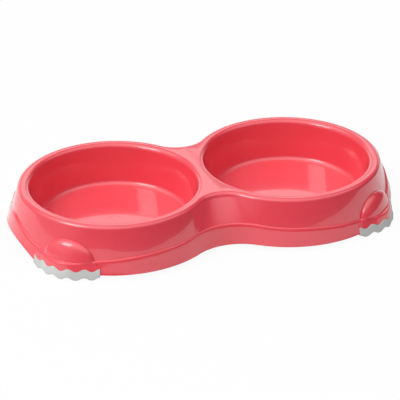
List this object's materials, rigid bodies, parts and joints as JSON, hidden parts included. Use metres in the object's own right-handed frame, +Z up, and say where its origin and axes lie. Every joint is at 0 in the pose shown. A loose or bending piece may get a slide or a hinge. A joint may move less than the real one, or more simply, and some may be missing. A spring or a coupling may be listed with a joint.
{
  "type": "double pet bowl",
  "caption": "Double pet bowl: one moulded shell with two round wells joined by a bridge, on separate soft wavy feet under its bulging corners.",
  "frame": {"origin": "on the floor under the middle of the bridge between the two wells", "axes": "+X along the two wells, -Y is the front and +Z is up"},
  "size_m": [0.3524, 0.1912, 0.045],
  "materials": {
    "shell": "gloss coral red",
    "foot": "matte light grey"
  },
  "bodies": {
    "root": {"bowl_shell": "shell", "foot_front_left": "foot", "foot_front_right": "foot", "foot_rear_left": "foot", "foot_rear_right": "foot"}
  },
  "joints": []
}
